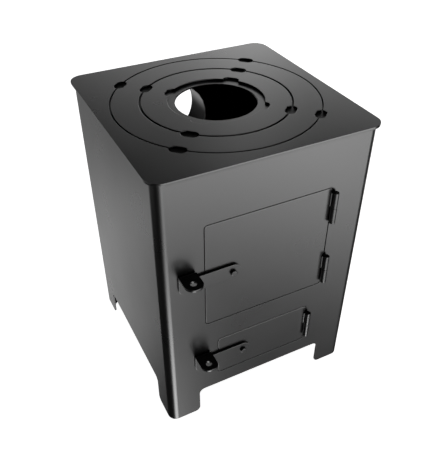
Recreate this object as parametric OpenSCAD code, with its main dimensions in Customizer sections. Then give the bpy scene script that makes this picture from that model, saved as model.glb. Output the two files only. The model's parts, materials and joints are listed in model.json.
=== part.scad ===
// Outdoor cooking stove for wood: a box of bent sheet on four cut-out feet, closed by
// a panel at the back, a flat hob plate with two nested lift-out rings, a firebox door
// above an ash door, weld-on barrel hinges, two turning latches, and a flue collar.
// The origin is on the floor, under the middle of the stove's overall box.
// +X is the stove's right side as seen from the front, -Y its front, +Z up.

/* [Hob plate] */
// Thickness of the hob plate
plate_t = 5; // [3:0.5:8]
// How far the plate stands out beyond each side of the body
side_over = 7.5; // [5:0.5:20]
// How far the plate stands out beyond the front and the back of the body
front_over = 8; // [5:0.5:20]
// Radius of the plate's corners
plate_r = 28; // [6:1:40]
// Distance from the joint round the outer ring to the nearest faces of the body
joint_in = 17; // [17:0.5:30]
// Width of the outer ring, between the middles of its joints
outer_ring_w = 55.5; // [45:0.5:60]
// Width of the inner ring, from the middle of its joint to the pot hole
inner_ring_w = 52; // [45:0.5:60]
// Width of the gap round the outer ring
outer_gap = 2.6; // [1:0.1:4]
// Width of the gap round the inner ring
inner_gap = 3.4; // [1:0.1:4]
// How far the hob plate's ledge reaches to each side of its edge
ledge_lap = 13; // [11:0.5:13]
// How far the outer ring's ledge reaches to each side of its joint
mid_ledge_lap = 20; // [11:0.5:20]
// How far the inner ring's ledge reaches to each side of the pot hole's edge
hole_ledge_lap = 14; // [11:0.5:15]
// Thickness of the ledge rings under the hob
ledge_t = 3; // [2:0.5:5]
// Length of a lifting notch along its joint
notch_len = 32; // [24:1:45]
// Width of a lifting notch across its joint
notch_w = 20; // [12:1:21]
// Number of lifting notches round each joint
notch_count = 4; // [2:1:8]

/* [Body] */
// Width of the sheet body
body_w = 435; // [420:1:440]
// Depth of the sheet body
body_d = 434; // [420:1:440]
// Thickness of the body sheet
sheet_t = 3; // [2:0.5:4]
// Outside radius of the four upright bends
bend_r = 18; // [8:1:26]

/* [Feet] */
// Height of the cut-outs between the feet
foot_h = 67.5; // [45:0.5:75]
// Width of a foot on each face
foot_w = 69; // [50:1:100]
// Radius of the cut-outs' corners and of the feet's toes
foot_r = 12; // [4:1:20]
// Length of the plates in the feet's corners along the body's sides
foot_plate_w = 45; // [30:1:50]

/* [Doors] */
// Width of the firebox door leaf
fire_w = 262; // [220:1:280]
// Height of the firebox door leaf
fire_h = 236.5; // [200:0.5:300]
// Width of the ash door leaf
ash_w = 208.5; // [180:0.5:230]
// Height of the ash door leaf
ash_h = 100.5; // [90:0.5:140]
// Height of the ash door's lower edge above the floor
ash_low = 104.75; // [102:0.25:140]
// Height of the front sheet between the two doors
door_strip = 57; // [48:0.5:90]
// Height of the front above the firebox door, up to the top of the hob
top_strip = 111.25; // [60:0.25:140]
// Corner radius of both door leaves
door_r = 6; // [2:0.5:12]
// Gap round each door leaf
door_gap = 1.7; // [0.8:0.1:2.5]
// How far the stop frame reaches in behind the door leaf
stop_lap = 8; // [5:0.5:12]
// Width of the stop frame's strip outside the opening
stop_land = 12; // [8:0.5:18]
// Thickness of the stop frame
stop_t = 3; // [2:0.5:4]

/* [Hinges] */
// Diameter of a hinge barrel
barrel_d = 12; // [10:0.5:16]
// Length of a hinge barrel, both halves
barrel_len = 70; // [50:1:80]
// Diameter of the hinge pins
hinge_pin_d = 6.4; // [5:0.1:7]
// Distance of the hinge axis outside the middle of the door gap
hinge_out = 2.2; // [1:0.1:3]
// Distance of a barrel's end from the firebox door's top or bottom edge
hinge_inset = 7; // [4:0.5:20]
// Radius of the weld beads along the barrels
bead_r = 2.8; // [2.6:0.1:3.4]

/* [Latches] */
// Width of the lever strip
lever_w = 33; // [24:0.5:40]
// Thickness of the lever strip and its tab
lever_t = 4.5; // [3:0.5:6]
// Distance of a lever's pivot from its door leaf's free edge
pivot_in = 53.5; // [45:0.5:60]
// Distance from the door leaf's free edge to the tab
tab_off = 19; // [12:0.5:26]
// Width of the tab that is folded outwards
tab_w = 35; // [33:0.5:45]
// Reach of the tab in front of the lever
tab_reach = 41; // [34:0.5:50]
// Height of the tab's top face above the strip's top edge
tab_up = 12; // [8:0.5:16]
// Corner radius at the tab's front
tab_r = 16; // [4:0.5:16]
// Diameter of the eye in the tab
eye_d = 12; // [8:0.5:16]
// Diameter of the pivot bolts
bolt_d = 8; // [6:0.5:10]
// Width of the inner tongue
tongue_w = 25; // [18:1:30]
// Thickness of the inner tongue
tongue_t = 4; // [3:0.5:5]
// How far a turned tongue reaches past the door opening's edge
tongue_lap = 5; // [4:0.5:12]

/* [Firebox] */
// Height of the shelf's top face above the middle of the strip between the doors
shelf_up = 2.25; // [-6:0.25:8]
// Width and depth of the square grate
grate_w = 260; // [220:1:300]
// Height of the grate's bars
grate_h = 16; // [12:1:20]
// Width of a grate bar
bar_w = 9; // [7:0.5:12]
// Width of the slots between the bars
slot_w = 9; // [6:0.5:12]
// Height of the top face of the ash floor
floor_z = 84; // [80:1:92]

/* [Flue] */
// Diameter of the flue collar's bore
flue_bore_d = 159; // [110:1:170]
// Wall of the flue collar
flue_t = 2; // [1.5:0.5:4]
// Length of the collar behind the body
flue_len = 76; // [40:1:120]
// Depth of the flue's axis below the top of the hob
flue_drop = 140; // [110:1:160]

/* [Hidden] */

// Facets of round shapes
$fn = 96;
// Overrun of every cut
over = 1;
// Clearance between pieces that rest on or pass each other
rest_gap = 0.3;
// Clearance at a welded edge inside the body
weld_gap = 0.2;
// Radial clearance of a hinge pin or bolt in its own hole
pin_gap = 0.05;
// Split between the two halves of a hinge barrel
knuckle_gap = 0.8;
// Solid end of a hinge barrel beyond its pin hole
barrel_end = 4;
// Length left free at each end of a weld bead
bead_end = 3;
// Rounding of a hinge barrel's outer end
barrel_chamfer = 1;
// Lower corner radius of the strip's free end
tip_r = 14;
// Inner radius of the tab's fold
fold_r = 1;
// Distance of the eye's middle in front of the lever
eye_out = 24;
// Washer under the lever
washer_t = 1;
washer_d = 16;
// Head of the pivot bolt
head_d = 13;
head_h = 6;
head_chamfer = 1.2;
// Nut on the pivot bolt, across its flats
nut_af = 13;
nut_h = 6.5;
// Bolt end beyond the nut
bolt_end = 2;
// Spacer tube between door and tongue
spacer_d = 14;
// Rim of the grate that lies on the shelf
rim_lap = 10;
rim_t = 6;
rim_w = 18;
// Play all round between the grate's lower part and the hole in the shelf
grate_play = 1;

steel = "#3a3b3d";
steel_dark = "#2b2c2e";
steel_hob = "#434446";
iron = "#33312f";
zinc = "#8f9194";

ash_z = ash_low + ash_h / 2;
fire_z = ash_low + ash_h + door_strip + fire_h / 2;
stove_h = ash_low + ash_h + door_strip + fire_h + top_strip;
shelf_z = ash_low + ash_h + door_strip / 2 + shelf_up;
plate_bottom = stove_h - plate_t;
outer_joint_r = min(body_w, body_d) / 2 - joint_in;
inner_joint_r = outer_joint_r - outer_ring_w;
pot_hole_r = inner_joint_r - inner_ring_w;
front_y = -body_d / 2;
ring_t = plate_t - rest_gap;
door_t = sheet_t - rest_gap;
barrel_r = barrel_d / 2;
knuckle_len = (barrel_len - knuckle_gap) / 2;
hinge_y = front_y - rest_gap - barrel_r;
fire_hinge_x = fire_w / 2 + door_gap / 2 + hinge_out;
ash_hinge_x = ash_w / 2 + door_gap / 2 + hinge_out;
fire_pivot_x = -fire_w / 2 + pivot_in;
ash_pivot_x = -ash_w / 2 + pivot_in;
lever_reach = pivot_in + tab_off + tab_w;
lever_back = front_y - rest_gap - washer_t;
lever_front = lever_back - lever_t;
fold_out = fold_r + lever_t;
tongue_front = front_y + sheet_t + stop_t + rest_gap;
tongue_back = tongue_front + tongue_t;
fire_tongue = pivot_in + door_gap + tongue_lap;
ash_tongue_len = ash_h / 2 + door_gap + tongue_lap;
flue_z = stove_h - flue_drop;
flue_r = flue_bore_d / 2;
rear_end = body_d / 2 + flue_len;
front_end = lever_front - tab_reach;
centre_y = -(rear_end + front_end) / 2;
// Half width of the rear panel's place, between the rounded corners of the rear feet
seam_x = body_w / 2 - foot_w - foot_r;
// Lower ends of the three hinge barrels: x of the axis, then height
hinge_spots = [[fire_hinge_x, fire_z + fire_h / 2 - hinge_inset - barrel_len],
               [fire_hinge_x, fire_z - fire_h / 2 + hinge_inset],
               [ash_hinge_x, ash_z - barrel_len / 2]];

// Puts the stove's own middle where the overall box is centred on the origin
module placed() {
    translate([0, centre_y, 0]) children();
}

// Flat rectangle with round corners, centred
module rounded(w, h, r) {
    square([w - 2 * r, h], center = true);
    square([w, h - 2 * r], center = true);
    for (x = [-1, 1], y = [-1, 1])
        translate([x * (w / 2 - r), y * (h / 2 - r)]) circle(r);
}

// Stands a flat outline up in the plane of the front, from depth y, thickness t
module upright(y, t) {
    translate([0, y + t, 0]) rotate([90, 0, 0]) linear_extrude(t) children();
}

// Opening of a round-cornered slot along a circle, with its length across the radius
module notch(r) {
    translate([r, 0]) {
        square([notch_w, notch_len - notch_w], center = true);
        for (s = [-1, 1])
            translate([0, s * (notch_len - notch_w) / 2]) circle(notch_w / 2);
    }
}

// The lifting notches round one joint
module notches(r) {
    for (i = [0 : notch_count - 1])
        rotate((i + 1 / 2) * 360 / notch_count) notch(r);
}

// Flat ring between two radii
module annulus(r_out, r_in) {
    difference() {
        circle(r_out);
        circle(r_in);
    }
}

// Outline that is cut away between two feet, for a face of width w
module foot_cut(w) {
    s = w / 2 - foot_w;
    translate([-s, -over]) square([2 * s, foot_h - foot_r + over]);
    translate([-(s - foot_r), 0]) square([2 * (s - foot_r), foot_h]);
    for (k = [-1, 1]) {
        translate([k * (s - foot_r), foot_h - foot_r]) circle(foot_r);
        // rounds the toe of the foot
        difference() {
            translate([k * s + min(0, k) * foot_r, -over]) square([foot_r, foot_r + over]);
            translate([k * (s + foot_r), foot_r]) circle(foot_r);
        }
    }
}

// ---- Body ----

module body_shell() color(steel) placed() difference() {
    linear_extrude(plate_bottom) difference() {
        rounded(body_w, body_d, bend_r);
        rounded(body_w - 2 * sheet_t, body_d - 2 * sheet_t, bend_r - sheet_t);
    }
    // space between the feet, front to back and side to side
    upright(front_y - over, body_d + 2 * over) foot_cut(body_w);
    rotate(90) upright(-body_w / 2 - over, body_w + 2 * over) foot_cut(body_d);
    // openings that the door leaves fill
    upright(front_y - over, sheet_t + 2 * over) {
        translate([0, fire_z])
            rounded(fire_w + 2 * door_gap, fire_h + 2 * door_gap, door_r + door_gap);
        translate([0, ash_z])
            rounded(ash_w + 2 * door_gap, ash_h + 2 * door_gap, door_r + door_gap);
    }
    // gap at the back that the rear panel fills
    translate([-seam_x, body_d / 2 - sheet_t - over, -over])
        cube([2 * seam_x, sheet_t + 2 * over, stove_h + over]);
}

module rear_panel() color(steel) placed()
    upright(body_d / 2 - sheet_t, sheet_t) difference() {
        translate([-seam_x + weld_gap, foot_h])
            square([2 * (seam_x - weld_gap), plate_bottom - foot_h]);
        translate([0, flue_z]) circle(flue_r + flue_t + weld_gap);
    }

// Plate that fits inside the body, seen from above
module inside_plate() {
    rounded(body_w - 2 * sheet_t - 2 * weld_gap, body_d - 2 * sheet_t - 2 * weld_gap,
            bend_r - sheet_t - weld_gap);
}

module ash_floor() color(steel_dark) placed()
    translate([0, 0, floor_z - sheet_t]) linear_extrude(sheet_t) inside_plate();

// Corner plates between the upright walls at the feet's lower ends
module foot_plates() color(steel_dark) placed()
    for (x = [-1, 1], y = [-1, 1])
        linear_extrude(sheet_t) intersection() {
            inside_plate();
            translate([x * (body_w / 2 - sheet_t), y * (body_d / 2 - sheet_t)]) rotate(45)
                square(foot_plate_w * sqrt(2), center = true);
        }

module grate_shelf() color(steel_dark) placed()
    translate([0, 0, shelf_z - sheet_t]) linear_extrude(sheet_t) difference() {
        inside_plate();
        square(grate_w - 2 * rim_lap, center = true);
    }

// Frame welded behind the front, which the closed door leaf rests against
module stop_frame(w, h, z) {
    upright(front_y + sheet_t, stop_t) translate([0, z]) difference() {
        rounded(w + 2 * door_gap + 2 * stop_land, h + 2 * door_gap + 2 * stop_land,
                door_r + stop_land);
        rounded(w + 2 * door_gap - 2 * stop_lap, h + 2 * door_gap - 2 * stop_lap, door_r);
    }
}

module firebox_stop_frame() color(steel_dark) placed() stop_frame(fire_w, fire_h, fire_z);

module ash_stop_frame() color(steel_dark) placed() stop_frame(ash_w, ash_h, ash_z);

module flue_collar() color(steel) placed()
    translate([0, rear_end, flue_z]) rotate([90, 0, 0]) difference() {
        cylinder(h = flue_len + sheet_t, r = flue_r + flue_t);
        translate([0, 0, -over]) cylinder(h = flue_len + sheet_t + 2 * over, r = flue_r);
    }

// ---- Hob ----

module hob_plate() color(steel_hob) placed()
    translate([0, 0, plate_bottom]) linear_extrude(plate_t) difference() {
        rounded(body_w + 2 * side_over, body_d + 2 * front_over, plate_r);
        circle(outer_joint_r + outer_gap / 2);
        notches(outer_joint_r);
    }

// Ledge ring whose top face is at height z, reaching by lap to each side of radius r
module ledge(r, lap, z) {
    translate([0, 0, z - ledge_t]) linear_extrude(ledge_t) annulus(r + lap, r - lap);
}

module hob_ledge() color(steel_dark) placed() ledge(outer_joint_r, ledge_lap, plate_bottom);

module outer_ring() color(steel_hob) placed()
    translate([0, 0, plate_bottom + rest_gap]) linear_extrude(ring_t) difference() {
        annulus(outer_joint_r - outer_gap / 2, inner_joint_r + inner_gap / 2);
        notches(outer_joint_r);
        notches(inner_joint_r);
    }

module outer_ring_ledge() color(steel_dark) placed()
    ledge(inner_joint_r, mid_ledge_lap, plate_bottom + rest_gap);

module inner_ring() color(steel_hob) placed()
    translate([0, 0, plate_bottom + 2 * rest_gap]) linear_extrude(ring_t - rest_gap)
    difference() {
        annulus(inner_joint_r - inner_gap / 2, pot_hole_r);
        notches(inner_joint_r);
        notches(pot_hole_r);
    }

module inner_ring_ledge() color(steel_dark) placed()
    ledge(pot_hole_r, hole_ledge_lap, plate_bottom + 2 * rest_gap);

// ---- Grate ----

module grate() color(iron) placed() {
    open_w = grate_w - 2 * rim_w;
    bars = floor((open_w - slot_w) / (bar_w + slot_w));
    pitch = (open_w + bar_w) / (bars + 1);
    slot = pitch - bar_w;
    low_w = grate_w - 2 * rim_lap - 2 * grate_play;
    translate([0, 0, shelf_z + rest_gap]) difference() {
        union() {
            translate([-grate_w / 2, -grate_w / 2, 0]) cube([grate_w, grate_w, rim_t]);
            translate([-low_w / 2, -low_w / 2, rim_t - grate_h])
                cube([low_w, low_w, grate_h]);
        }
        // slots between the bars, in two rows with a cross bar in the middle
        for (i = [0 : bars], k = [-1, 1])
            translate([(i - bars / 2) * pitch - slot / 2,
                       k * (open_w / 4 + bar_w / 4) - (open_w - bar_w) / 4,
                       rim_t - grate_h - over])
                cube([slot, (open_w - bar_w) / 2, grate_h + 2 * over]);
    }
}

// ---- Hinges ----

// Half of a hinge barrel with its blind pin hole open at the top, and its weld bead
// on the side given by k, bottom at the origin on the hinge axis
module knuckle(k) {
    difference() {
        union() {
            translate([0, 0, barrel_chamfer])
                cylinder(h = knuckle_len - barrel_chamfer, r = barrel_r);
            cylinder(h = barrel_chamfer, r1 = barrel_r - barrel_chamfer, r2 = barrel_r);
            // fillet weld between barrel and sheet, flat where it meets the sheet
            translate([0, 0, bead_end]) intersection() {
                translate([k * (hinge_out + door_gap / 2 + bead_r), barrel_r + rest_gap, 0])
                    cylinder(h = knuckle_len - 2 * bead_end, r = bead_r);
                translate([-2 * barrel_d, 0, 0])
                    cube([4 * barrel_d, barrel_r + rest_gap, barrel_len]);
            }
        }
        translate([0, 0, barrel_end])
            cylinder(h = knuckle_len, r = hinge_pin_d / 2 + pin_gap);
    }
}

// Lower half, welded to the body
module low_knuckle(spot) {
    translate([spot[0], hinge_y, spot[1]]) knuckle(1);
}

// Upper half, welded to the door leaf
module high_knuckle(spot) {
    translate([spot[0], hinge_y, spot[1] + barrel_len]) mirror([0, 0, 1]) knuckle(-1);
}

module frame_knuckles() color(steel_dark) placed()
    for (s = hinge_spots) low_knuckle(s);

module hinge_pins() color(zinc) placed()
    for (s = hinge_spots)
        translate([s[0], hinge_y, s[1] + barrel_end + rest_gap])
            cylinder(h = barrel_len - 2 * barrel_end - 2 * rest_gap, r = hinge_pin_d / 2);

module firebox_door_knuckles() color(steel_dark) placed()
    for (s = [hinge_spots[0], hinge_spots[1]]) high_knuckle(s);

module ash_door_knuckle() color(steel_dark) placed() high_knuckle(hinge_spots[2]);

// ---- Doors ----

module door_leaf(w, h, z, pivot_x) {
    upright(front_y, door_t) difference() {
        translate([0, z]) rounded(w, h, door_r);
        translate([pivot_x, z]) circle(bolt_d / 2 + rest_gap);
    }
}

module firebox_door() color(steel) placed() door_leaf(fire_w, fire_h, fire_z, fire_pivot_x);

module ash_door() color(steel) placed() door_leaf(ash_w, ash_h, ash_z, ash_pivot_x);

// ---- Latches ----

// Outline of the lever strip, pivot at the origin, free end on the left
module strip() {
    difference() {
        union() {
            circle(lever_w / 2);
            translate([-lever_reach + tip_r, -lever_w / 2])
                square([lever_reach - tip_r, lever_w]);
            translate([-lever_reach, -lever_w / 2 + tip_r])
                square([lever_reach, lever_w - tip_r]);
            translate([-lever_reach + tip_r, -lever_w / 2 + tip_r]) circle(tip_r);
            // neck up to the tab's fold
            translate([-lever_reach, 0]) square([tab_w, lever_w / 2 + tab_up - fold_out]);
        }
        circle(bolt_d / 2 + pin_gap);
    }
}

// Lever with the tab folded outwards above its top edge, pivot at [x, z]
module lever(x, z) {
    tab_x = -lever_reach;
    fold_y = lever_back - fold_out;
    fold_z = lever_w / 2 + tab_up - fold_out;
    translate([x, 0, z]) {
        upright(lever_front, lever_t) strip();
        // fold
        translate([tab_x, fold_y, fold_z]) rotate([90, 0, 90])
            rotate_extrude_quarter(fold_out, fold_r, tab_w);
        // tab
        translate([0, 0, lever_w / 2 + tab_up - lever_t]) linear_extrude(lever_t) difference() {
            union() {
                translate([tab_x, lever_front - tab_reach + tab_r])
                    square([tab_w, fold_y - lever_front + tab_reach - tab_r]);
                translate([tab_x + tab_r, lever_front - tab_reach])
                    square([tab_w - 2 * tab_r, tab_r]);
                for (cx = [tab_x + tab_r, tab_x + tab_w - tab_r])
                    translate([cx, lever_front - tab_reach + tab_r]) circle(tab_r);
            }
            translate([tab_x + tab_w / 2, lever_front - eye_out]) circle(eye_d / 2);
        }
    }
}

// Quarter of a tube of length l, between the local +X and +Y directions
module rotate_extrude_quarter(r_out, r_in, l) {
    linear_extrude(l) intersection() {
        annulus(r_out, r_in);
        square(r_out + over);
    }
}

// Round-headed bolt along Y through lever, door, spacer, tongue and nut
module pivot_bolt(x, z) {
    translate([x, 0, z]) rotate([90, 0, 0]) {
        translate([0, 0, -(tongue_back + nut_h + bolt_end)])
            cylinder(h = tongue_back + nut_h + bolt_end - lever_front, r = bolt_d / 2);
        translate([0, 0, -lever_front])
            cylinder(h = head_h - head_chamfer, r = head_d / 2);
        translate([0, 0, -lever_front + head_h - head_chamfer])
            cylinder(h = head_chamfer, r1 = head_d / 2, r2 = head_d / 2 - head_chamfer);
    }
}

// Tube along Y from depth y0 to y1
module sleeve(x, z, y0, y1, d) {
    translate([x, y1, z]) rotate([90, 0, 0]) linear_extrude(y1 - y0)
        annulus(d / 2, bolt_d / 2 + pin_gap);
}

// Inner tongue, turned by a from pointing right
module tongue(x, z, reach, a) {
    upright(tongue_front, tongue_t) translate([x, z]) rotate(a) difference() {
        union() {
            circle(tongue_w / 2);
            translate([0, -tongue_w / 2]) square([reach - tongue_w / 2, tongue_w]);
            translate([reach - tongue_w / 2, 0]) circle(tongue_w / 2);
        }
        circle(bolt_d / 2 + pin_gap);
    }
}

// Hexagon nut behind the tongue
module nut(x, z) {
    translate([x, tongue_back + nut_h, z]) rotate([90, 0, 0]) linear_extrude(nut_h)
        difference() {
            circle(nut_af / sqrt(3), $fn = 6);
            circle(bolt_d / 2 + pin_gap);
        }
}

module firebox_lever() color(steel_dark) placed() lever(fire_pivot_x, fire_z);

module firebox_lever_bolt() color(steel_dark) placed() pivot_bolt(fire_pivot_x, fire_z);

module firebox_lever_washer() color(zinc) placed()
    sleeve(fire_pivot_x, fire_z, lever_back, lever_back + washer_t, washer_d);

module firebox_lever_spacer() color(zinc) placed()
    sleeve(fire_pivot_x, fire_z, front_y + sheet_t, tongue_front, spacer_d);

module firebox_tongue() color(steel_dark) placed()
    tongue(fire_pivot_x, fire_z, fire_tongue, 90);

module firebox_tongue_nut() color(zinc) placed() nut(fire_pivot_x, fire_z);

module ash_lever() color(steel_dark) placed() lever(ash_pivot_x, ash_z);

module ash_lever_bolt() color(steel_dark) placed() pivot_bolt(ash_pivot_x, ash_z);

module ash_lever_washer() color(zinc) placed()
    sleeve(ash_pivot_x, ash_z, lever_back, lever_back + washer_t, washer_d);

module ash_lever_spacer() color(zinc) placed()
    sleeve(ash_pivot_x, ash_z, front_y + sheet_t, tongue_front, spacer_d);

module ash_tongue() color(steel_dark) placed()
    tongue(ash_pivot_x, ash_z, ash_tongue_len, 0);

module ash_tongue_nut() color(zinc) placed() nut(ash_pivot_x, ash_z);

body_shell();
rear_panel();
foot_plates();
ash_floor();
grate_shelf();
hob_plate();
hob_ledge();
flue_collar();
firebox_stop_frame();
ash_stop_frame();
frame_knuckles();
hinge_pins();
grate();
outer_ring();
outer_ring_ledge();
inner_ring();
inner_ring_ledge();
firebox_door();
firebox_door_knuckles();
ash_door();
ash_door_knuckle();
firebox_lever();
firebox_lever_bolt();
firebox_lever_washer();
firebox_lever_spacer();
firebox_tongue();
firebox_tongue_nut();
ash_lever();
ash_lever_bolt();
ash_lever_washer();
ash_lever_spacer();
ash_tongue();
ash_tongue_nut();
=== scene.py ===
import bpy
import json
import math
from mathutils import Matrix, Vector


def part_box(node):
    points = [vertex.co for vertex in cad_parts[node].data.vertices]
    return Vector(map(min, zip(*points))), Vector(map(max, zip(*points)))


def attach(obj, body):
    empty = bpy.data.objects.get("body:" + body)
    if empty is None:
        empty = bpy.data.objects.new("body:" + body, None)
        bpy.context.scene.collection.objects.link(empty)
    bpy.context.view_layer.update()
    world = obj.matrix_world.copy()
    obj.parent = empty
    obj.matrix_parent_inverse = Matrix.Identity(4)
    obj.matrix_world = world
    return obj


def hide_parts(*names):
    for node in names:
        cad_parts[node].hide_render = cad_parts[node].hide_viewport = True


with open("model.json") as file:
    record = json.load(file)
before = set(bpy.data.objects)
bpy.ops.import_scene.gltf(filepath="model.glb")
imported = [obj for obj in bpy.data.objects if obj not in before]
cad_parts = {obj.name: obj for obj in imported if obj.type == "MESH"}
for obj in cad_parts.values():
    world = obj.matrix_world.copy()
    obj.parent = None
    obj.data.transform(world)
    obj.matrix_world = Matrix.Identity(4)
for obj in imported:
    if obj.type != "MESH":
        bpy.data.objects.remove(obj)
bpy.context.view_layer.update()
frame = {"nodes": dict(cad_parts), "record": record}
nodes = frame["nodes"]
body_of = {n: b for b, members in frame["record"]["behaviour"]["bodies"].items() for n in members}
MM = 0.001
WHITE = (1, 1, 1, 1)

# Camera

CAMERA_PLACE = (-0.4598, -0.9333, 1.0935)
CAMERA_TILT = math.radians(51.297)
CAMERA_TURN = math.radians(-26.734)
SENSOR_WIDTH = 36
LENS_LENGTH = 46.69
SHIFT_X = -0.0025
SHIFT_Y = 0.0311


def set_camera():
    """The photograph's own view, from the front left and above."""
    lens = bpy.data.cameras.new("photo_camera")
    camera = bpy.data.objects.new("photo_camera", lens)
    bpy.context.scene.collection.objects.link(camera)
    camera.location = CAMERA_PLACE
    camera.rotation_euler = (CAMERA_TILT, 0, CAMERA_TURN)
    lens.sensor_width = SENSOR_WIDTH
    lens.lens = LENS_LENGTH
    lens.shift_x = SHIFT_X
    lens.shift_y = SHIFT_Y
    bpy.context.scene.camera = camera


def only(piece):
    """Makes a piece the one selected object."""
    bpy.ops.object.select_all(action="DESELECT")
    piece.select_set(True)
    bpy.context.view_layer.objects.active = piece


# Materials

PAINT_IOR = 1.5
# Sizes of the patterns in the finishes, in millimetres
COAT_PATCH = 110
COAT_PEEL = 1.6
COAT_PEEL_DEPTH = 0.004
ZINC_PATCH = 3
IRON_GRAIN = 1.2
IRON_GRAIN_DEPTH = 0.25
RUST_PATCH = 35
# Sockets of a Mix node that mixes colours
MIX_SHARE, MIX_FIRST, MIX_SECOND, MIX_RESULT = 0, 6, 7, 2
# How far the sheen of the paint strays to each side of its roughness
SHEEN_SPREAD = 0.02


def linear(hexcode):
    """An sRGB hex colour as linear RGBA."""
    parts = [int(hexcode[i:i + 2], 16) / 255 for i in (1, 3, 5)]
    return [c / 12.92 if c <= 0.04045 else ((c + 0.055) / 1.055) ** 2.4 for c in parts] + [1]


def add(tree, kind, settings=None, links=None):
    """A node with its settings and the sockets linked into it."""
    node = tree.nodes.new(kind)
    for name, value in (settings or {}).items():
        if isinstance(name, int) or name in node.inputs.keys():
            node.inputs[name].default_value = value
        else:
            setattr(node, name, value)
    for name, source in (links or {}).items():
        tree.links.new(source, node.inputs[name])
    return node


def per_mm(size):
    """The texture scale at which one patch is this many millimetres across."""
    return 1 / (size * MM)


def relief(tree, shader, height, depth):
    """Bump of the given depth in millimetres from a 0 to 1 height."""
    bump = add(tree, "ShaderNodeBump", {"Distance": depth * MM}, {"Height": height})
    tree.links.new(bump.outputs["Normal"], shader.inputs["Normal"])


def new_material(name, hexcode, roughness, metallic=0.0):
    """A material with its plain values set, and what its patterns are linked to."""
    material = bpy.data.materials.new(name)
    material.use_nodes = True
    tree = material.node_tree
    shader = tree.nodes["Principled BSDF"]
    shader.inputs["Base Color"].default_value = linear(hexcode)
    shader.inputs["Roughness"].default_value = roughness
    shader.inputs["Metallic"].default_value = metallic
    place = add(tree, "ShaderNodeTexCoord").outputs["Object"]
    return material, tree, shader, place


def stove_enamel(name, hexcode, roughness, gloss=0.5):
    """Sprayed, baked silicone paint: near-black satin, with fine orange peel and a slow drift of sheen."""
    material, tree, shader, place = new_material(name, hexcode, roughness)
    shader.inputs["IOR"].default_value = PAINT_IOR
    shader.inputs["Specular IOR Level"].default_value = gloss
    drift = add(tree, "ShaderNodeTexNoise", {"Scale": per_mm(COAT_PATCH), "Detail": 2.0},
                {"Vector": place})
    sheen = add(tree, "ShaderNodeMapRange",
                {"To Min": roughness - SHEEN_SPREAD, "To Max": roughness + SHEEN_SPREAD},
                {"Value": drift.outputs["Fac"]})
    tree.links.new(sheen.outputs["Result"], shader.inputs["Roughness"])
    tone = add(tree, "ShaderNodeMix",
               {"data_type": "RGBA", MIX_FIRST: linear(hexcode), MIX_SECOND: linear("#060606")},
               {MIX_SHARE: drift.outputs["Fac"]})
    tree.links.new(tone.outputs[MIX_RESULT], shader.inputs["Base Color"])
    peel = add(tree, "ShaderNodeTexNoise", {"Scale": per_mm(COAT_PEEL), "Detail": 1.0},
               {"Vector": place})
    relief(tree, shader, peel.outputs["Fac"], COAT_PEEL_DEPTH)
    return material


def zinc_plate(name):
    """Bright zinc, barrel plated: pale grey metal with a soft patchy sheen."""
    material, tree, shader, place = new_material(name, "#9A9C9E", 0.35, metallic=1.0)
    patches = add(tree, "ShaderNodeTexVoronoi", {"Scale": per_mm(ZINC_PATCH)},
                  {"Vector": place})
    sheen = add(tree, "ShaderNodeMapRange", {"To Min": 0.28, "To Max": 0.45},
                {"Value": patches.outputs["Color"]})
    tree.links.new(sheen.outputs["Result"], shader.inputs["Roughness"])
    return material


def cast_iron(name):
    """Grey iron from a sand mould: dull, dark, grainy all over, with a breath of rust."""
    material, tree, shader, place = new_material(name, "#1E1C1B", 0.62)
    grain = add(tree, "ShaderNodeTexNoise", {"Scale": per_mm(IRON_GRAIN), "Detail": 3.0},
                {"Vector": place})
    bloom = add(tree, "ShaderNodeTexNoise", {"Scale": per_mm(RUST_PATCH), "Detail": 3.0},
                {"Vector": place})
    tone = add(tree, "ShaderNodeMix",
               {"data_type": "RGBA", MIX_FIRST: linear("#171615"), MIX_SECOND: linear("#2C2320")},
               {MIX_SHARE: bloom.outputs["Fac"]})
    tree.links.new(tone.outputs[MIX_RESULT], shader.inputs["Base Color"])
    relief(tree, shader, grain.outputs["Fac"], IRON_GRAIN_DEPTH)
    return material


# The same paint all over, but dulled by soot on the inner pieces
FINISHES = {
    "body_enamel": stove_enamel("satin_black_stove_paint", "#010101", 0.28),
    "hob_enamel": stove_enamel("satin_black_hob_paint", "#010101", 0.28),
    "inner_enamel": stove_enamel("sooted_black_paint", "#010101", 0.5, gloss=0.25),
    "fitting_enamel": stove_enamel("satin_black_fitting_paint", "#010101", 0.28),
    "bare_steel": zinc_plate("zinc_plated_steel"),
    "grate_iron": cast_iron("cast_iron"),
}
slot_of = {s["node"]: s["material_slot"] for s in frame["record"]["subparts"]}
# The ledge in the pot hole lies open beside the ring and shines as the ring does
paint_of = {**slot_of, "inner_ring_ledge": "hob_enamel"}
for name, node in nodes.items():
    node.data.materials.clear()
    node.data.materials.append(FINISHES[paint_of[name]])


# Sheet, bar and fittings with their edges eased

# How much of each sharp edge the file and the paint take away, in millimetres
EDGE = {
    "hob_plate": 0.6, "outer_ring": 1.2, "inner_ring": 1.2, "hob_ledge": 0.5,
    "outer_ring_ledge": 0.5, "inner_ring_ledge": 0.5, "body_shell": 0.4, "rear_panel": 0.5,
    "firebox_door": 0.9, "ash_door": 0.9, "firebox_stop_frame": 0.4, "ash_stop_frame": 0.4,
    "firebox_lever": 0.7, "ash_lever": 0.7, "firebox_lever_bolt": 0.4, "ash_lever_bolt": 0.4,
    "frame_knuckles": 0.3, "firebox_door_knuckles": 0.3, "ash_door_knuckle": 0.3,
    "flue_collar": 0.4, "foot_plates": 0.4, "ash_floor": 0.4, "grate_shelf": 0.4,
    "firebox_tongue": 0.5, "ash_tongue": 0.5, "grate": 1.2,
}
# Points this close, in millimetres, are one point, and faces this level are one face
TOUCHING = 0.001
LEVEL = math.radians(0.5)
SHARP = math.radians(40)
SMOOTH = math.radians(35)


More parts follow.
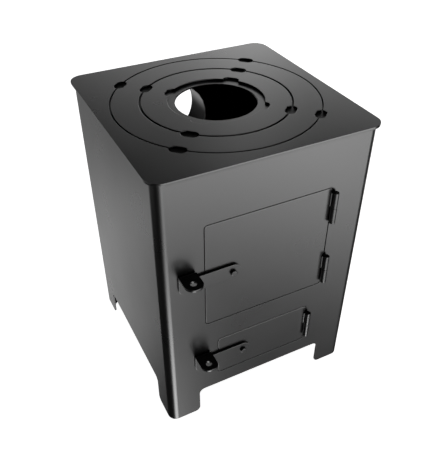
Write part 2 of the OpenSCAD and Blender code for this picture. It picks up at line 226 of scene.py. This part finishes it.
def finish_as(piece, node, stands_in=True):
    """Gives a piece a node's body and paint, and hides the node if the piece stands in for it."""
    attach(piece, body_of[node])
    piece.data.materials.clear()
    piece.data.materials.append(FINISHES[paint_of[node]])
    if stands_in:
        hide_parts(node)


def ease(node, amount):
    """A node's own shape with every sharp edge rounded over."""
    piece = bpy.data.objects.new(node + "_eased", nodes[node].data.copy())
    bpy.context.scene.collection.objects.link(piece)
    only(piece)
    bpy.ops.mesh.customdata_custom_splitnormals_clear()
    bpy.ops.object.mode_set(mode="EDIT")
    bpy.ops.mesh.select_all(action="SELECT")
    bpy.ops.mesh.remove_doubles(threshold=TOUCHING * MM)
    bpy.ops.mesh.dissolve_limited(angle_limit=LEVEL)
    bpy.ops.object.mode_set(mode="OBJECT")
    edge = piece.modifiers.new("edge", "BEVEL")
    edge.width = amount * MM
    edge.segments = 2
    edge.limit_method = "ANGLE"
    edge.angle_limit = SHARP
    edge.use_clamp_overlap = False
    bpy.ops.object.modifier_apply(modifier=edge.name)
    bpy.ops.object.shade_smooth_by_angle(angle=SMOOTH)
    # keeps the flats flat beside their rounded edges
    flats = piece.modifiers.new("flats", "WEIGHTED_NORMAL")
    flats.keep_sharp = True
    bpy.ops.object.modifier_apply(modifier=flats.name)
    finish_as(piece, node)


for node, amount in EDGE.items():
    ease(node, amount)


# Weld beads

SHEET_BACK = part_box("rear_panel")[1][1]
COLLAR_LOW, COLLAR_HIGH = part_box("flue_collar")
BEAD_SIDES = 10
BEAD_SMOOTH = math.radians(60)
# In millimetres: a ripple's length and depth, the two beads' radii and the seams' bare ends
RIPPLE = 2.2
RIPPLE_DEPTH = 0.35
FILLET_RADIUS = 3.2
SEAM_RADIUS = 2.4
SEAM_END = 1
# How far a seam bead stands out, as a share of its radius
SEAM_FLATNESS = 0.4


def collar_bead():
    """The fillet weld round the flue collar, drawn in short overlapping ripples."""
    radius = (COLLAR_HIGH[0] - COLLAR_LOW[0]) / 2
    middle = (0, SHEET_BACK, (COLLAR_LOW[2] + COLLAR_HIGH[2]) / 2)
    ripples = int(2 * math.pi * radius / (RIPPLE * MM))
    bpy.ops.object.select_all(action="DESELECT")
    bpy.ops.mesh.primitive_torus_add(
        location=middle, rotation=(math.pi / 2, 0, 0), major_segments=2 * ripples,
        minor_segments=BEAD_SIDES, major_radius=radius, minor_radius=FILLET_RADIUS * MM)
    bead = bpy.context.active_object
    bead.name = bead.data.name = "flue_collar_weld"
    bpy.ops.object.transform_apply()
    pinch(bead, lambda v: round((math.atan2(v.co.z - middle[2], v.co.x) % (2 * math.pi))
                                / math.pi * ripples))
    finish_as(bead, "flue_collar", stands_in=False)


def seam_bead(name, x):
    """A low bead down the joint of the rear panel and a rear corner."""
    low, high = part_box("rear_panel")
    start = low[2] + SEAM_END * MM
    length = high[2] - SEAM_END * MM - start
    ripples = int(length / (RIPPLE * MM))
    bpy.ops.object.select_all(action="DESELECT")
    bpy.ops.mesh.primitive_cylinder_add(
        vertices=BEAD_SIDES, radius=SEAM_RADIUS * MM, depth=length,
        location=(x, SHEET_BACK, (low[2] + high[2]) / 2))
    bead = bpy.context.active_object
    bead.name = bead.data.name = name
    bpy.ops.object.mode_set(mode="EDIT")
    for cut in range(1, 2 * ripples):
        bpy.ops.mesh.select_all(action="SELECT")
        bpy.ops.mesh.bisect(plane_co=(x, SHEET_BACK, start + length * cut / (2 * ripples)),
                            plane_no=(0, 0, 1))
    bpy.ops.object.mode_set(mode="OBJECT")
    bpy.ops.object.transform_apply()
    pinch(bead, lambda v: round((v.co.z - start) / length * 2 * ripples))
    for v in bead.data.vertices:
        v.co.y = SHEET_BACK + (v.co.y - SHEET_BACK) * SEAM_FLATNESS
    finish_as(bead, "rear_panel", stands_in=False)


def pinch(bead, ring_of):
    """Draws in every second ring of a bead's vertices, which leaves ripples."""
    only(bead)
    bpy.ops.object.mode_set(mode="EDIT")
    bpy.ops.mesh.select_mode(type="VERT")
    bpy.ops.mesh.select_all(action="DESELECT")
    bpy.ops.object.mode_set(mode="OBJECT")
    for v in bead.data.vertices:
        v.select = ring_of(v) % 2 == 1
    bpy.ops.object.mode_set(mode="EDIT")
    bpy.ops.transform.shrink_fatten(value=-RIPPLE_DEPTH * MM)
    bpy.ops.object.mode_set(mode="OBJECT")
    bpy.ops.object.shade_smooth_by_angle(angle=BEAD_SMOOTH)


collar_bead()
for side, name in ((0, "rear_seam_weld_left"), (1, "rear_seam_weld_right")):
    seam_bead(name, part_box("rear_panel")[side][0])


# Studio

# Each softbox: name, then the azimuth of its middle, its half width at full strength and its fade,
# then the same three for its elevation, then its strength. The angles are in degrees.
SOFTBOXES = [
    ("front_right", 287, 29, 4, -14.5, 6, 27, 7.3),
    ("front_left_low", 262, 8, 26, -58, 5, 17, 9.0),
    ("back_level", 52.5, 11, 27, 12.5, 2, 13, 2.3),
    ("back_strip", 60, 2, 3, 11, 17, 27, 0.7),
    ("back_low", 70, 36, 5, -28, 17.5, 9.5, 0.5),
    ("left_near", 96, 6, 3, -45, 2, 18, 0.8),
    ("left_far", 122, 9, 5, -34, 0, 7.5, 0.8),
    # these three are for the sides that the photograph doesn't show
    ("right_side", 30, 12, 10, -22, 8, 9, 1.8),
    ("behind_left", 166, 20, 14, -14, 6, 9, 2.5),
    ("overhead", 0, 180, 10, 90, 18, 14, 0.8),
]
# The faint light that comes from everywhere
FILL = 0.02
FLOOR_SIZE = 40
# Keeps the floor clear of the feet, in millimetres
FLOOR_DROP = 0.5


def set_world():
    """A dark studio with softboxes; the camera itself sees white paper all round."""
    world = bpy.data.worlds.new("studio")
    bpy.context.scene.world = world
    world.use_nodes = True
    tree = world.node_tree
    tree.nodes.clear()
    way = add(tree, "ShaderNodeTexCoord").outputs["Generated"]
    height = add(tree, "ShaderNodeSeparateXYZ", None, {0: way}).outputs["Z"]
    elevation = add(tree, "ShaderNodeMath", {"operation": "ARCSINE"}, {0: height}).outputs[0]

    def towards(x, y):
        """How far each direction points towards a level one."""
        dot = add(tree, "ShaderNodeVectorMath", {"operation": "DOT_PRODUCT", 1: (x, y, 0)}, {0: way})
        return dot.outputs["Value"]

    def falloff(offset, full, fade):
        """Full up to one angle from the middle, and nothing past the fade."""
        away = add(tree, "ShaderNodeMath", {"operation": "ABSOLUTE"}, {0: offset}).outputs[0]
        glow = add(tree, "ShaderNodeMapRange",
                   {"interpolation_type": "SMOOTHSTEP", "From Min": math.radians(full),
                    "From Max": math.radians(full + fade), "To Min": 1.0, "To Max": 0.0},
                   {"Value": away})
        return glow.outputs["Result"]

    total = None
    for name, azimuth, wide, wide_fade, level, tall, tall_fade, strength in SOFTBOXES:
        a = math.radians(azimuth)
        turn = add(tree, "ShaderNodeMath", {"operation": "ARCTAN2"},
                   {0: towards(-math.sin(a), math.cos(a)), 1: towards(math.cos(a), math.sin(a))})
        rise = add(tree, "ShaderNodeMath", {"operation": "SUBTRACT", 1: math.radians(level)},
                   {0: elevation})
        box = add(tree, "ShaderNodeMath", {"operation": "MULTIPLY"},
                  {0: falloff(turn.outputs[0], wide, wide_fade),
                   1: falloff(rise.outputs[0], tall, tall_fade)})
        box.label = name
        lit = add(tree, "ShaderNodeMath", {"operation": "MULTIPLY_ADD", 1: strength, 2: FILL},
                  {0: box.outputs[0]})
        # each box adds to the sum of those before it
        if total:
            tree.links.new(total, lit.inputs[2])
        total = lit.outputs[0]
    seen = add(tree, "ShaderNodeBackground", {"Color": WHITE, "Strength": 1.0})
    lights = add(tree, "ShaderNodeBackground", {"Color": WHITE}, {"Strength": total})
    path = add(tree, "ShaderNodeLightPath")
    mix = add(tree, "ShaderNodeMixShader", None,
              {0: path.outputs["Is Camera Ray"], 1: lights.outputs[0], 2: seen.outputs[0]})
    add(tree, "ShaderNodeOutputWorld", None, {"Surface": mix.outputs[0]})


def set_floor():
    """A white floor that the camera sees and that lights nothing."""
    bpy.ops.object.select_all(action="DESELECT")
    bpy.ops.mesh.primitive_plane_add(size=FLOOR_SIZE, location=(0, 0, -FLOOR_DROP * MM))
    floor = bpy.context.active_object
    floor.name = "studio_floor"
    material = bpy.data.materials.new("white_paper")
    material.use_nodes = True
    shader = material.node_tree.nodes["Principled BSDF"]
    shader.inputs["Base Color"].default_value = WHITE
    shader.inputs["Emission Color"].default_value = WHITE
    shader.inputs["Emission Strength"].default_value = 1.0
    floor.data.materials.append(material)
    floor.visible_diffuse = floor.visible_glossy = False
    floor.visible_transmission = floor.visible_shadow = False


set_camera()
set_world()
set_floor()
bpy.context.scene.view_settings.view_transform = "Standard"
